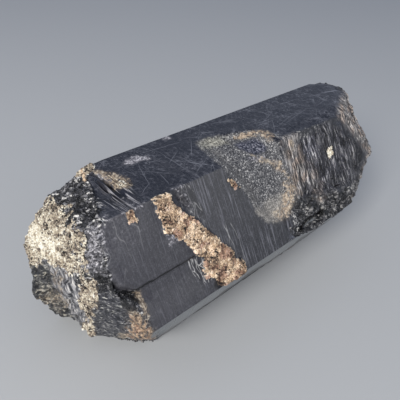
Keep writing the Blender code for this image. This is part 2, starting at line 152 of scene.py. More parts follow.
# Surface patches. Each is: where it lies, how softly it ends (mm), how ragged its outline is (mm),
# its strength and the corners of its outline, which are (X, down) on the unrolled top and front
# faces for "side", and (Y, Z) on the broken ends for "near" and "far".
PATCHES = {
    "feldspar": (
        ("near", 3, 3.5, 1, (30, 62), (38, 44), (40, 20), (30, 24), (27, 30), (18, 37), (13, 38),
         (6, 40), (2, 43), (1, 52), (-2, 60), (1, 65), (8, 64), (13, 64), (22, 62)),
        ("near", 3, 3, 0.5, (6, 40), (0, 42), (-7, 45), (-12, 53), (-10, 58), (-12, 64), (-12, 69),
         (-5, 67), (1, 65), (4, 55)),
        ("near", 2, 3, 0.45, *SEAM),
        ("near", 0.8, 1, 0.9, (12.5, 76), (21, 71), (18, 69.5), (13, 71.5), (10, 74)),
        ("near", 3, 5, 0.4, (34, 18), (24, 12), (22, -2), (32, -4), (38, 10)),
        ("side", 0.6, 0.8, 0.6, (-68, -34), (-65, -34), (-63.5, -31), (-65, -29)),
        ("side", 0.5, 0.7, 0.65, (-58, -17), (-56.8, -11.7), (-58.6, -10.6), (-59.6, -15)),
        ("side", 0.4, 0.4, 0.9, (-67, 0.2), (-63.8, 0.2), (-64.3, 4.5), (-67, 4)),
        ("side", 0.4, 0.6, 0.7, (-23.5, 4.8), (-21, 5.4), (-18.5, 9.8), (-21, 9.7)),
        ("side", 0.4, 0.4, 1, (39.6, 12), (41, 12.3), (40.4, 16), (38.6, 17.3), (38.2, 15.6)),
    ),
    "cream": (
        # Near end: cream feldspar, made paler here as painted light where the end faces the key
        # light
        ("near", 8, 4, 1, (30, 46), (19, 51), (10, 51), (8, 43), (16, 39), (30, 34)),
        ("side", 1, 0.5, 0.3, (-61, -18), (-56, -10), (-59, -12)),
        ("side", 1, 0.5, 0.8, (38, 11), (42, 12), (41, 18), (37, 17)),
        ("side", 3, 4, 0.4, (-53, 10), (-42, 10), (-34, 26), (-43, 28)),
        ("side", 0.8, 0.8, 0.7, (-47, 32), (-43.5, 32), (-42, 36.5), (-46, 37)),
    ),
    "warm": (
        ("side", 2, 0, 1, (-70, -1), (-50, -1), (-18, 5), (-18, 44), (-45, 44), (-70, 8)),
        ("side", 2, 0, 0.2, (-10, -16), (12, -16), (14, 34), (-6, 34), (4, 20), (6, -10)),
        ("near", 3, 2, 0.9, (-20, 10), (-24, 34), (-28, 44), (-42, 50), (-42, 30)),
    ),
    "ground": (("side", 0.5, 0.6, 1, (-19, -21), (-12, -20.7), (-5, -17.5), (5, -14.5), (11, -10.6),
                (9, -3.3), (8.5, 2), (10, 10.8), (11, 17.4), (11, 22.2), (8, 27.9), (4, 30.4),
                (-4, 30), (-10, 28.5), (-13, 23.5), (-16, 13.3), (-23, 2), (-23.3, -3.6),
                (-21, -14.8)),),
    "green": (("side", 2, 2, 1, (-18, -20.5), (-12, -20), (-5, -16.6), (-6, -13), (-14, -15),
               (-20, -14)),),
    "lens": (("side", 0.8, 1, 1, (-5, -10.3), (2, -10), (6, -6.9), (6, -1.9), (3, 0.2), (-2, -0.8),
              (-5, -4.6)),),
    "pale": (
        ("side", 3.5, 2, 1, (-14, 22), (-10, 28.5), (-4, 30), (6, 30), (8, 24), (4, 20), (-8, 20)),
        ("side", 3, 1, 0.3, (-22, -2), (-18, -12), (-14, -12), (-16, 2), (-8, 18), (-14, 18)),
    ),
    "stepped": (("side", 0.8, 0.5, 1, (-67, -28), (-61, -27), (-58, -18), (-55, -10), (-59, -8),
                 (-60, 0), (-68, 0), (-70, -12)),),
    "glass": (
        ("side", 0.6, 0.6, 1, (-64.5, -27), (-63.3, -25), (-63.3, -16), (-64, -11), (-67, -10),
         (-69, -13.5), (-68, -20.5)),
        ("side", 0.5, 0.5, 1, (-70, -5.6), (-68, -4), (-67, 0), (-70, 0), (-71, -2.4)),
    ),
    # Clefts: darkened with painted shade in the material, and kept free of feldspar grains
    "cleft": (
        ("side", 0.3, 0.4, 1, (-82, 21), (-80, 21.4), (-72.4, 24.9), (-72.4, 31), (-74, 28.6),
         (-76, 25.5), (-79, 23.4), (-82, 24)),
        ("near", 0.5, 0.6, 1, (-17, 56), (-21, 57), (-27, 58), (-31, 54), (-34.5, 46), (-31, 48),
         (-29, 52), (-28, 54), (-24, 52.5), (-19, 52)),
        ("side", 0.6, 1, 0.9, (-43, 38), (-40, 36.5), (-37.5, 38), (-38, 41), (-42, 42)),
        ("side", 0.4, 0.5, 0.9, (-29.5, 34), (-28, 33), (-27.5, 35), (-29, 36)),
        ("side", 0.8, 1, 0.6, (-46, 0.3), (-41, 0.5), (-39, 8), (-37.5, 14), (-41, 13), (-44, 8)),
        ("side", 0.8, 1, 0.4, (-49, 26), (-46, 26), (-45, 35), (-48, 34)),
    ),
    "striated": (
        ("side", 1.5, 2, 1, (-40, 0), (-22, 0), (-18, 12), (-13, 24), (-6, 31), (14, 32), (8, 44),
         (-25, 44), (-27, 36), (-32, 28), (-41, 14)),
        ("side", 3, 2, 0.1, (-72, 3), (-56, 3), (-46, 30), (-38, 44), (-72, 44)),
    ),
    "raked": (("near", 3, 2.5, 1, (17, 37), (2, 42), (-6, 39), (-9, 26), (-5, 12), (6, 8),
               (13, 22)),),
    "stain": (
        ("side", 1.2, 1.6, 0.75, (-1, -14.6), (7, -13.4), (11.5, -9), (11, -4), (8, -3.2),
         (7, -9.5), (0, -12)),
        ("side", 2.4, 2.2, 0.62, (9, 13), (12, 20.7), (8, 29), (-1, 31), (-5, 28), (1, 25),
         (6, 19.7)),
        ("side", 1, 1.6, 0.52, (-5, -5), (-1, 1), (5, 5), (9, 11), (11.8, 21), (10, 21), (7.5, 13),
         (3, 7), (-3, 2.5)),
        ("side", 0.6, 0.8, 0.5, (14, 1), (17.5, 1), (18, 6), (15, 7)),
        ("side", 0.8, 1, 0.7, (-61, -27.5), (-58, -22.3), (-56, -16.3), (-56, -10.7), (-59, -10.4),
         (-61, -13.3), (-61, -19.7)),
        ("side", 0.4, 0.5, 0.9, (-72.4, 25.4), (-70.9, 26.2), (-70.9, 34.5), (-72, 37),
         (-72.7, 31)),
        ("near", 1.5, 2.5, 0.8, *SEAM),
        ("near", 2, 3, 0.45, (16, 34), (9, 38), (2, 36), (4, 30), (14, 27)),
        ("near", 3, 4, 0.4, (8, 16), (18, 8), (24, 12), (16, 24), (6, 26)),
        ("near", 1.5, 2.5, 0.6, (33, 16), (24, 4), (10, -3), (22, -4), (38, 8)),
        ("near", 2.5, 1.2, 0.75, (-32, 49), (-37, 45), (-38, 37), (-30, 30), (-24, 26), (-27, 34),
         (-31, 41), (-30, 44)),
        ("near", 0.8, 0.8, 0.9, (-12, 12), (-37, 37), (-36, 32), (-24, 18), (-12, 8)),
    ),
    "flaked": (
        ("side", 1.5, 2, 1, (12, -2), (21, -2), (22, 8), (21, 16), (16, 25), (10, 23), (11, 13),
         (10, 6)),
        ("side", 2, 2, 0.4, (21, 12), (28, 14), (30, 34), (25, 34.5), (20, 25)),
        ("far", 2, 2, 0.9, (-14, 77), (-2, 72), (-8, 59), (-19, 57), (-27, 60), (-24, 70)),
        ("far", 3, 3, 0.5, (-45, 20), (-30, 58), (-20, 60), (0, 40), (0, 0), (-30, 0)),
    ),
    "ridged": (("side", 1.5, 2, 1, (9, 3), (20, 4), (27, 3), (45, 1.5), (54, 9.5), (66, 20),
                (60, 28), (49, 34), (28, 30), (14, 27), (11, 18)),),
    "combed": (("near", 2, 2, 1, (40, 22), (27, 28), (18, 36), (6, 39), (0, 41), (-5, 33), (-7, 24),
                (-2, 9), (6, -4), (40, -4)),),
    "lined": (("near", 0.8, 0.8, 1, (-18, 45), (-24, 53), (-31, 51), (-36, 44), (-40, 40),
               (-38, 30), (-10, 6), (-1, 2), (-4, 14), (-8, 27), (-12, 38)),),
    "vein": (
        ("side", 3, 3, 0.25, (-78, 0), (-60, -1), (-59, 9), (-66, 14), (-72, 16), (-78, 20)),
        ("side", 0.6, 0.8, 1, (-48, -0.5), (-41, -0.5), (-39.5, 6), (-36, 15), (-40, 15), (-44, 9),
         (-47, 3)),
        ("side", 0.6, 0.8, 1, (-50, 25), (-45, 25.5), (-43, 36), (-46, 37), (-50, 32)),
        ("side", 1, 1.5, 0.5, (-33, 20), (-27, 21), (-24, 34), (-28, 38), (-31, 30)),
    ),
    "hackly": (
        ("side", 1.2, 2.5, 1, (5, 31), (14, 25), (28, 31), (50, 34), (60, 30), (66, 45), (2, 43)),
        ("side", 0.8, 1.2, 0.4, (9, -10), (16, -3), (27, -1), (45, -1), (45, 3), (12, 6)),
        ("side", 0.6, 0.6, 1, (-84, 21.5), (-80, 21.8), (-73, 25.2), (-73.5, 31), (-72, 38),
         (-71, 46), (-84, 46)),
    ),
    "frost": (
        ("near", 2, 2, 0.66, (-7, 52), (-14, 67), (-12, 71), (-16, 74), (-21, 70), (-20, 62),
         (-21, 56), (-16, 53), (-12, 51)),
        ("side", 2, 3, 0.16, (-80, -1), (-76, -1), (-74, 6), (-77, 14), (-77, 22), (-82, 23)),
        ("side", 3, 3, 0.15, (-76, -1), (-62, 0), (-62, 8), (-72, 14), (-77, 14)),
        ("side", 4, 5, 0.1, (-42, -22), (-30, -13), (-32, -3), (-43, -10)),
        # A thin pale line along the edge between the top and front faces: partly a worn edge,
        # partly a painted highlight
        ("side", 0.4, 0.3, 0.5, (-77, -0.4), (-59, -0.5), (-59, 0.5), (-77, 0.6)),
        ("side", 0.8, 1.2, 0.6, (-56, 12), (-53, 12), (-51, 17), (-55, 18)),
        ("side", 0.8, 1, 1, (-51, -24), (-45, -27), (-41, -22.6), (-41, -20.6), (-49, -22)),
        ("side", 0.5, 0.6, 1, (-28.5, -31), (-25, -31), (-24, -28), (-27.5, -28.5)),
        ("side", 0.8, 0.8, 0.2, (-64, -9.6), (-60, -6), (-60, 0.2), (-67, 0.2), (-66, -7)),
        ("side", 0.5, 1.2, 0.4, (-47.5, -1), (-43.5, -1), (-42, 3), (-40.5, 8), (-38, 14),
         (-40.5, 13), (-43, 9), (-46, 3)),
        ("side", 0.6, 1, 0.5, (-62, -29.5), (-59, -18.6), (-60.5, -17.6), (-63, -26.4)),
        ("side", 0.5, 0.5, 0.7, (-7, 0), (-5, -1), (1, 1.2), (4, 1.4), (2, 3), (-3, 2.4)),
    ),
}

# Node settings that come up often
COLOUR = {"out": 2, "data_type": "RGBA"}
TINT = {**COLOUR, "blend_type": "MULTIPLY"}
PLUS = {"operation": "ADD"}
MINUS = {"operation": "SUBTRACT"}
TIMES = {"operation": "MULTIPLY"}
TIMES_PLUS = {"operation": "MULTIPLY_ADD"}
LARGER = {"operation": "MAXIMUM"}
UNSIGNED = {"operation": "ABSOLUTE"}

# Textures of the surface: how the place is mapped, turned (degrees about X) and scaled if it is,
# then the size in mm, the detail and the roughness
TEXTURES = {
    "patches": (None, 14, 4, 0.5),
    "specks": (None, 0.8, 2, 0.75),
    "dust": (None, 0.5, 3, 0.8),
    "scuffed": (None, 1.5, 5, 0.85),
    # Growth lines run square across the faces, about 0.6 mm apart, and stay 13 mm long
    "growth": (("POINT", 0, (1, 0.045, 0.045)), 0.6, 3, 0.7),
    # Broken steps across the near end of the top face
    "stepped": (("POINT", 0, (1, 0.03, 0.03)), 0.9, 2, 0.5),
    # Dark ridges of the near end, about 1 mm apart, that run up to the front
    "combed": (("TEXTURE", 55, (1, 1, 9)), 1.0, 3, 0.7),
    # Grey slope between them: streaks about 1.3 mm apart that run nearly upright
    "raked": (("TEXTURE", -45, (1, 1, 8)), 1.3, 4, 0.7),
    # Slate-grey facet at the front: fine level lines
    "lined": (("TEXTURE", 63, (1, 1, 6)), 0.7, 3, 0.7),
    # Long ridges and flakes of the front face's far part, about 0.7 mm apart
    "ridged": (("POINT", 0, (1, 0.09, 0.09)), 0.7, 5, 0.8),
}
STREAK_DEPTH = {"ridged": 0.9, "combed": 1.0, "raked": 0.9, "stepped": 0.8, "lined": 0.5}

# Feldspar's colours, from dark to cream: the first, near-black, is painted shade for the gaps
# between its grains
FELDSPAR = ("#1f1d1b", "#574f48", "#968879", "#c5b8a2", "#efe8d4", "#fffcf0")
WARM_TINT = "#ffecdd"
MAUVE_TINT = "#c4b3b4"
# Colours of each finish along its texture, and the finishes in the order that they lie in
TONES = {
    "growth": ("growth", (0.46, "#000000"), (0.54, "#17171a"), (0.61, "#49494e"), (0.7, "#6c6c72")),
    # Dark risers with thin pale rims; the rims are painted highlights
    "stepped": ("stepped", (0.4, "#020204"), (0.45, "#11141e"), (0.54, "#171a26"),
                (0.565, "#a5a3a6"), (0.6, "#2f2e33"), (0.66, "#101219")),
    # Black grains with grey and white flecks, partly grey dust and partly painted glints
    "hackly": ("broken", (0.15, "#050607"), (0.38, "#1a1b1f"), (0.55, "#424247"), (0.72, "#88878a"),
               (0.87, "#e9e6e0")),
    # Dark ridges whose cream-white tops, where the bump is highest, are painted highlights
    "combed": ("combed", (0.4, "#08090c"), (0.5, "#26282d"), (0.58, "#66665f"), (0.66, "#d6cfbf")),
    "raked": ("raked", (0.38, "#121317"), (0.47, "#55565b"), (0.56, "#a09fa1"), (0.66, "#e4e0da")),
    "lined": ("lined", (0.36, "#0e0f14"), (0.49, "#25262d"), (0.58, "#515157"), (0.66, "#b4b2aa")),
    # Dark ridges with pale frayed edges
    "ridged": ("ridged", (0.4, "#030408"), (0.48, "#1f202a"), (0.54, "#5c5c67"), (0.62, "#d3d1d0")),
    "flaked": ("ridged", (0.38, "#08080a"), (0.46, "#403e40"), (0.53, "#928d8b"), (0.6, "#eee8e0")),
    # Shell-shaped break: ground-glass grey, pale at its foot and yellowish at one corner
    "ground": ("sanded", (0.38, "#0d0e12"), (0.46, "#353539"), (0.54, "#656567"),
               (0.61, "#d6d4d0")),
    "pale": ("sanded", (0.36, "#45433f"), (0.5, "#86827c"), (0.64, "#d0cac0")),
    "green": ("specks", (0.36, "#464540"), (0.5, "#86847a"), (0.64, "#c7c4b6")),
    "lens": ("specks", (0.38, "#1c1e29"), (0.52, "#3d3f4c"), (0.64, "#9c9ba4")),
    "frost": ("specks", (0.36, "#3a3a40"), (0.5, "#838187"), (0.64, "#d6d3d6")),
    "stain": ("streaky", (0.12, "#2e2925"), (0.35, "#75685b"), (0.6, "#a99780"), (0.88, "#e0d5c0")),
    "feldspar": ("grainy", *zip((0.06, 0.20, 0.36, 0.55, 0.78, 1), FELDSPAR)),
}
COATS = ("scuffs", "stepped", "marks", "hackly", "vein", "combed", "raked", "lined", "ridged",
         "flaked", "ground", "lens", "frost", "stain", "feldspar")
GRAIN_TONES = tuple(zip((0.0, 0.14, 0.3, 0.5, 0.75, 1.0), FELDSPAR))
CHIP_TONES = ((0.0, "#08090b"), (0.35, "#141518"), (0.6, "#3c3c3f"), (0.8, "#85837f"),
              (1.0, "#cfcbc0"))


def direction(angle):
    return Vector((0, cos(radians(angle)), sin(radians(angle))))


def side_planes():
    return {name: (direction(angle), Vector((0, 0, AXIS_HEIGHT)) + direction(angle) * distance)
            for name, (angle, distance) in SIDE_FACES.items()}


def end_planes(facets, sign):
    planes = {}
    for name, (angle, lean, point) in facets.items():
        normal = Vector((sign * cos(radians(lean)), 0, 0)) + direction(angle) * sin(radians(lean))
        planes[name] = (normal, Vector(point))
    return planes


def convex_block(planes):
    """A cube cut by every plane in turn, which leaves the crystal's ideal form."""
    block = bmesh.new()
    bmesh.ops.create_cube(block, size=400)
    for normal, point in planes:
        geometry = block.verts[:] + block.edges[:] + block.faces[:]
        cut = bmesh.ops.bisect_plane(block, geom=geometry, plane_co=point, plane_no=normal,
                                     clear_outer=True)
        rim = [item for item in cut["geom_cut"] if isinstance(item, bmesh.types.BMEdge)]
        if rim:
            bmesh.ops.edgeloop_fill(block, edges=rim)
    bmesh.ops.recalc_face_normals(block, faces=block.faces)
    return block


def to_object(source, name):
    mesh = bpy.data.meshes.new(name)
    source.to_mesh(mesh)
    source.free()
    item = bpy.data.objects.new(name, mesh)
    bpy.context.scene.collection.objects.link(item)
    return item


def apply_modifiers(item):
    bpy.context.view_layer.update()
    evaluated = item.evaluated_get(bpy.context.evaluated_depsgraph_get())
    mesh = bpy.data.meshes.new_from_object(evaluated)
    item.modifiers.clear()
    old = item.data
    item.data = mesh
    bpy.data.meshes.remove(old)


def smooth(value, low, high):
    """0 below low, 1 above high, and an even curve between."""
    share = np.clip((value - low) / (high - low), 0, 1)
    return share * share * (3 - 2 * share)


def fade(value, low, high):
    """1 below low, 0 above high, and an even curve between."""
    return 1 - smooth(value, low, high)


def bump(distance, reach):
    """1 at distance 0, fading to 0 at the reach on either side."""
    return fade(np.abs(distance), 0, reach)


def sample(field, points, size, seed):
    """A noise field at every point, with lumps of the given size and shifted by the seed."""
    shift = Vector((seed * 13.7, seed * 7.1, seed * 3.3))
    return np.array([field(Vector(point) / size + shift) for point in points])


def rough(points, size, seed):
    """Even noise from about -1 to 1."""
    return sample(noise.noise, points, size, seed) * 1.6


def blocks(points, size, seed):
    """Stepped noise from -1 to 1: a flat height for each cell."""
    return sample(noise.cell, points, size, seed) * 2 - 1


def grains(points, size, seed):
    """Rounded lumps side by side, 0 in the cracks between them and 1 on their tops."""
    first = sample(lambda point: noise.voronoi(point)[0][0], points, size, seed)
    return np.clip(1 - first * 1.3, 0, 1)


def mesh_array(mesh, name):
    values = np.empty(len(mesh.vertices) * 3)
    mesh.vertices.foreach_get(name, values)
    return values.reshape(-1, 3)


def set_points(mesh, points):
    mesh.vertices.foreach_set("co", points.ravel())
    mesh.update()


def inside_outline(places, outline):
    """Distance of each flat point to the outline, positive inside and negative outside."""
    x, y = places[:, 0], places[:, 1]
    nearest = np.full(len(places), 1e9)
    crossed = np.zeros(len(places), dtype=bool)
    for (ax, ay), (bx, by) in zip(outline, outline[1:] + outline[:1]):
        dx, dy = bx - ax, by - ay
        share = np.clip(((x - ax) * dx + (y - ay) * dy) / (dx * dx + dy * dy), 0, 1)
        nearest = np.minimum(nearest, np.hypot(x - ax - share * dx, y - ay - share * dy))
        if dy:
            crossed ^= ((ay > y) != (by > y)) & (x < ax + (y - ay) * dx / dy)
    return np.where(crossed, nearest, -nearest)


class Skin:
    """The places of the undisplaced surface's points, and how far inside each plane they lie."""

    def __init__(self, mesh, planes):
        self.points = mesh_array(mesh, "co")
        self.normals = mesh_array(mesh, "normal")
        self.gaps = {name: point.dot(normal) - self.points @ np.array(normal)
                     for name, (normal, point) in planes.items()}
        self.side_gap, self.near_gap, self.far_gap = [
            np.min([self.gaps[name] for name in faces], axis=0)
            for faces in (SIDE_FACES, NEAR_FACETS, FAR_FACETS)]
        self.end_gap = np.minimum(self.near_gap, self.far_gap)
        self.facing = {name: smooth(self.normals @ np.array(planes[name][0]), *FACING)
                       for name in SIDE_FACES}
        self.along, across, up = self.points.T
        on_top = (up > HEIGHT - 0.6) & (across > FRONT_EDGE_Y - 0.4)
        self.down = np.where(on_top, FRONT_EDGE_Y - across, (HEIGHT - up) / SLOPE)
        hidden = self.facing["base"] + self.facing["back"] + self.facing["back_under"] > 0.5
        self.down = np.where(hidden, OUT_OF_SIGHT, self.down)

    def patch(self, wobble, where, softness, ragged, strength, *outline):
        """Share of one surface patch at every point, from 0 to its strength."""
        if where == "side":
            places = np.stack([self.along, self.down], axis=1)
            gate = fade(np.minimum(self.gaps["top"], self.gaps["front"]), 0.8, 2.0)
        else:
            places = self.points[:, 1:]
            gap = self.near_gap if where == "near" else self.far_gap
            gate = fade(gap, 1.0, 3.5)
        inside = inside_outline(places, outline) + wobble * ragged
        return smooth(inside, -softness, softness) * gate * strength

    def layers(self):
        """Share of each finish at every point, from 0 to 1."""
        wobble = 0.6 * rough(self.points, 3.2, 31) + 0.4 * rough(self.points, 1.3, 32)
        made = {}
        for name, patches in PATCHES.items():
            made[name] = np.max([self.patch(wobble, *patch) for patch in patches], axis=0)
        on_front = fade(self.gaps["front"], 1, 2)
        made["feldspar"] = np.maximum(made["feldspar"], crust_weight(self) * on_front)
        broken = fade(self.end_gap + 1.5 * wobble, 0.6, 1.8)
        made["hackly"] = np.maximum(made["hackly"], broken)
        made["ground"] = made["ground"] * (1 - made["lens"])
        made["hackly"] *= 1 - made["glass"]
        made["stepped"] *= 1 - 0.8 * made["glass"]
        made["mottle"] = 0.5 + 0.5 * rough(self.points, 4.0, 33)
        # Pale strip along the front face's low edge: partly a worn edge, partly a painted
        # reflection of the floor below
        low_edge = fade(self.gaps["front_low_edge"], 0.05, 0.35)
        made["edge"] = low_edge * smooth(self.gaps["front"], 0.1, 0.5) * (1 - made["hackly"])
        return made


def band_inside(skin, depths, left_ends, right_ends):
    """How far a point lies inside a band whose two ends are given at some depths."""
    left = np.interp(skin.down, depths, left_ends)
    right = np.interp(skin.down, depths, right_ends)
    return np.minimum(skin.along - left, right - skin.along)


def crust_weight(skin):
    along, down = skin.along, skin.down
    inside = band_inside(skin, CRUST_DOWN, CRUST_LEFT, CRUST_RIGHT)
    inside += rough(skin.points, 5, 1) * 1.5
    bite = bump(np.hypot(along - CRUST_BITE[0], down - CRUST_BITE[1]), HOLLOW_RADIUS)
    return smooth(inside, -0.4, 1.6) * smooth(down, -1.5, 1.5) * (1 - bite)


def front_relief(skin):
    """Crust, ledge, hollows and broken stretches of the front face, outwards in mm."""
    points, along, down = skin.points, skin.along, skin.down
    crust = crust_weight(skin)
    lumps = 0.4 * grains(points, 5, 2) + 0.6 * grains(points, 2.6, 3)
    height = crust * (0.5 + CRUST_HEIGHT * lumps)
    away = np.hypot(along - CRUST_HOLLOW[0], down - CRUST_HOLLOW[1])
    hollow = bump(away, HOLLOW_RADIUS) * 2.0
    # A slanting cleft through the crust's upper end
    cleft = bump(along + 46 - (down - 3) * 0.4, 1.6) * bump(down - 4, 6) * 1.6
    height -= hollow + cleft

    # The ledge, and the crevice where it meets the near end
    below = smooth(down, LEDGE_DOWN - 0.4, LEDGE_DOWN + 0.5)
    ledge_end = fade(along, LEDGE_END, LEDGE_END + 1.5)
    within = smooth(along, LEDGE_START, LEDGE_START + 1.5) * ledge_end
    height -= LEDGE_DEPTH * below * within * (1 - crust) * fade(down, 28, 41)
    crevice = down - 26 - 0.8 * (along + 73.5)
    height -= bump(crevice, 3.0) * bump(along + 75, 8) * 3.2

    # Far part: ridges, blocks broken out below them, and flakes beside them
    ridged = smooth(along, 12, 20) * fade(down, 26, 31) * smooth(down, 0.5, 4)
    stretched = points * np.array((1, 0.16, 0.16))
    height += ridged * (0.75 * rough(stretched, 2.6, 4) - 0.35)
    blocky = smooth(along, -2, 6) * smooth(down, 25, 30) * fade(along, 40, 50)
    height += blocky * (0.8 * blocks(points, 5, 5) + 0.6 * rough(points, 3, 6) - 0.8)
    flakes = bump(along - 16, 6) * bump(down - 13, 11)
    height += flakes * (0.8 * rough(stretched, 2.0, 7))
    return height * skin.facing["front"]


def top_relief(skin):
    """Stepped grooves near the broken end and a worn stretch along the far front edge."""
    points, along, back = skin.points, skin.along, -skin.down
    step = along + 62 + 0.05 * (back - 12) + 0.25 * rough(points, 8, 8)
    groove = bump(step + 1.6, 1.2) * 1.5 + bump(step - 0.6, 1.0) * 1.1
    terrace = fade(step, -3.4, -2.4) * 0.8 + fade(step, 1.6, 2.4) * 0.5
    height = -(groove + terrace) * bump(back - 14, 17) * 1.2
    worn = smooth(along, 10, 24) * fade(back, 3, 7)
    height -= worn * (0.5 + 0.5 * rough(points, 3, 9))
    return height * skin.facing["top"]


def end_relief(skin, layers):
    """Lumps, grains and ridges of the two broken ends."""
    points = skin.points
    calm = 1 - 0.75 * layers["lined"]
    near = points[:, 0] < 0
    lumps = 1.3 * rough(points, 13, 10) + 0.9 * rough(points, 6, 11) + 0.5 * rough(points, 3, 12)
    grown = 0.9 * grains(points, 4.5, 13) + 0.6 * grains(points, 2.5, 14) - 0.4
    steps = 0.5 * blocks(points * np.array((1, 1, 0.6)), 7, 15)
    band = smooth(points[:, 2], 22, 30)
    wave = (points[:, 1] * 0.7 + points[:, 2]) * 1.5 + rough(points, 8, 16) * 2
    lumps = lumps * np.where(near, calm, 0.7)
    ribs = 0.6 * np.sin(wave) * (1 - band) * calm
    height = lumps + np.where(near, grown * band + ribs, steps)
    return height * smooth(skin.side_gap, 0.6, 3.5)


def chipped_edges(skin):
    """Small bites out of the rims of the ends, and the worn far stretches of the front's edges."""
    points, along, down = skin.points, skin.along, skin.down
    rim = bump(skin.end_gap.clip(0), 5) * np.clip(rough(points, 6, 17) + 0.2, 0, 1) * 1.4
    far_edge = smooth(along, 26, 50) * bump(down, 7) * (1.3 + 0.9 * rough(points, 5, 18))
    far_edge *= fade(skin.gaps["front"], 5, 9)
    low_rim = bump(down - FRONT_WIDTH, 7) * fade(skin.gaps["front"], 2, 7)
    low_edge = smooth(along, 4, 18) * low_rim * (2.6 + 0.8 * rough(points, 4, 19))
    low_edge *= 1 - 0.7 * smooth(along, 40, 52)
    return -(rim + far_edge + low_edge)


def under_relief(skin):
    """Shallow growth terraces across the faces at the back and underneath."""
    hidden = skin.facing["front_under"] + skin.facing["back_under"] + skin.facing["back"]
    crossing = skin.points * np.array((1, 0.25, 0.25))
    terraces = np.tanh(3 * rough(crossing, 16, 20))
    height = 0.35 * terraces + 0.25 * rough(crossing, 8, 21) - 0.3
    return height * hidden * smooth(skin.end_gap, 1, 6)


def fine_relief(skin, layers):
    """Grain of each finish, too fine for the solid: 0.1 to 0.6 mm high."""
    points = skin.points
    rest = 1 - layers["feldspar"]
    hackly = layers["hackly"] * rest
    struck = np.max([layers[name] for name in STREAKED], axis=0)
    hackly *= (1 - 0.8 * struck) * (1 - 0.7 * layers["flaked"])
    hackly *= np.where(points[:, 0] > 0, 0.7, 1)
    height = hackly * (0.24 * blocks(points, 1.6, 41) + 0.22 * rough(points, 1.3, 42))
    # Ridges that run up to the front, 1.4 mm apart, and the rakes between them, 2.2 mm apart
    ridge = points @ np.array(((1, 0, 0), (0, 0.57, -0.1), (0, 0.82, 0.07)))
    height += layers["combed"] * rest * 0.35 * rough(ridge, 1.4, 49)
    rake = points @ np.array(((1, 0, 0), (0, -0.707, 0.0707), (0, 0.707, 0.0707)))
    height += layers["raked"] * rest * 0.4 * rough(rake, 2.2, 50)
    crossing = points * np.array((1, 0.03, 0.03))
    height += layers["stepped"] * 0.35 * blocks(crossing, 1.5, 51)
    crumbs = 0.55 * grains(points, 1.5, 43) + 0.25 * rough(points, 1.0, 44) - 0.2
    knobs = 0.6 * rough(points, 3.4, 52)
    height += layers["feldspar"] * (crumbs + layers["warm"] * (knobs - 0.4 * crumbs))
    height += layers["ground"] * 0.07 * rough(points, 1.4, 45)
    stretched = points * np.array((1, 0.06, 0.06))
    ridges = 0.3 * blocks(stretched, 1.4, 46) + 0.35 * rough(stretched, 1.1, 47)
    height += np.maximum(layers["ridged"], layers["flaked"]) * ridges
    height += layers["frost"] * rest * 0.15 * rough(points, 1.2, 48)
    return height


def scoop_depth(skin):
    """The shell-shaped break over the edge between the top and the front face."""
    ends = np.minimum(skin.down - SCOOP_DOWN[0], SCOOP_DOWN[-1] - skin.down)
    inside = np.minimum(band_inside(skin, SCOOP_DOWN, SCOOP_LEFT, SCOOP_RIGHT), ends)
    depth = SCOOP_DEPTH * smooth(inside, -0.3, 7)
    depth += SCOOP_EDGE_DEPTH * smooth(inside, 0, 3) * bump(skin.down, 9)
    depth += smooth(inside, 0, 2) * 0.35 * rough(skin.points, 3, 22)
    facing = skin.facing["front"] + skin.facing["top"] + bump(skin.down, 2)
    return depth * facing.clip(0, 1)


def crisp_edges(mesh, planes):
    """Brings vertices that lie close to a long edge of the prism onto it."""
    points = mesh_array(mesh, "co")
    names = list(SIDE_FACES)
    reach = REMESH_SIZE * 0.62
    ends = [planes[name] for name in (*NEAR_FACETS, *FAR_FACETS)]
    off_ends = np.min([p.dot(n) - points @ np.array(n) for n, p in ends], axis=0) > REMESH_SIZE
    for first, second in zip(names, names[1:] + names[:1]):
        (n1, p1), (n2, p2) = planes[first], planes[second]
        if n1.dot(n2) > 0.9:
            continue
        n1, n2 = np.array(n1), np.array(n2)
        gap1 = p1.dot(Vector(n1)) - points @ n1
        gap2 = p2.dot(Vector(n2)) - points @ n2
        close = (np.abs(gap1) < reach) & (np.abs(gap2) < reach) & off_ends
        # Solving both planes at once gives the shift in the plane that the two normals span
        both = np.array(((1, n1 @ n2), (n1 @ n2, 1)))
        shares = np.linalg.solve(both, np.stack([gap1, gap2]))
        shift = shares[0][:, None] * n1 + shares[1][:, None] * n2
        points = points + shift * close[:, None]
    set_points(mesh, points)


def finer_where_rough(item, planes):
    """Halves the mesh size wherever the surface is broken, crusted or stepped."""
    skin = Skin(item.data, planes)
    layers = skin.layers()
    rough_finishes = ("feldspar", "hackly", "ridged", "frost", "ground")
    fine = np.max([layers[name] for name in rough_finishes], axis=0)
    steps = bump(skin.along + 63, 9) * skin.facing["top"]
    ledge = bump(skin.down - LEDGE_DOWN, 2.5) * bump(skin.along + 60, 16)
    fine = np.maximum(fine, np.maximum(steps, ledge * 2) * 0.8) > 0.3
    fine |= skin.near_gap < 1
    hidden = (skin.points[:, 1] > 20) & (skin.points[:, 0] > 0)
    fine &= ~hidden
    surface = bmesh.new()
    surface.from_mesh(item.data)
    surface.verts.ensure_lookup_table()
    edges = [edge for edge in surface.edges if all(fine[end.index] for end in edge.verts)]
    bmesh.ops.subdivide_edges(surface, edges=edges, cuts=1, use_grid_fill=True)
    surface.to_mesh(item.data)
    surface.free()


def store(mesh, name, values):
    layer = mesh.attributes.new(name, "FLOAT", "POINT")
    layer.data.foreach_set("value", np.asarray(values, dtype=np.float32))


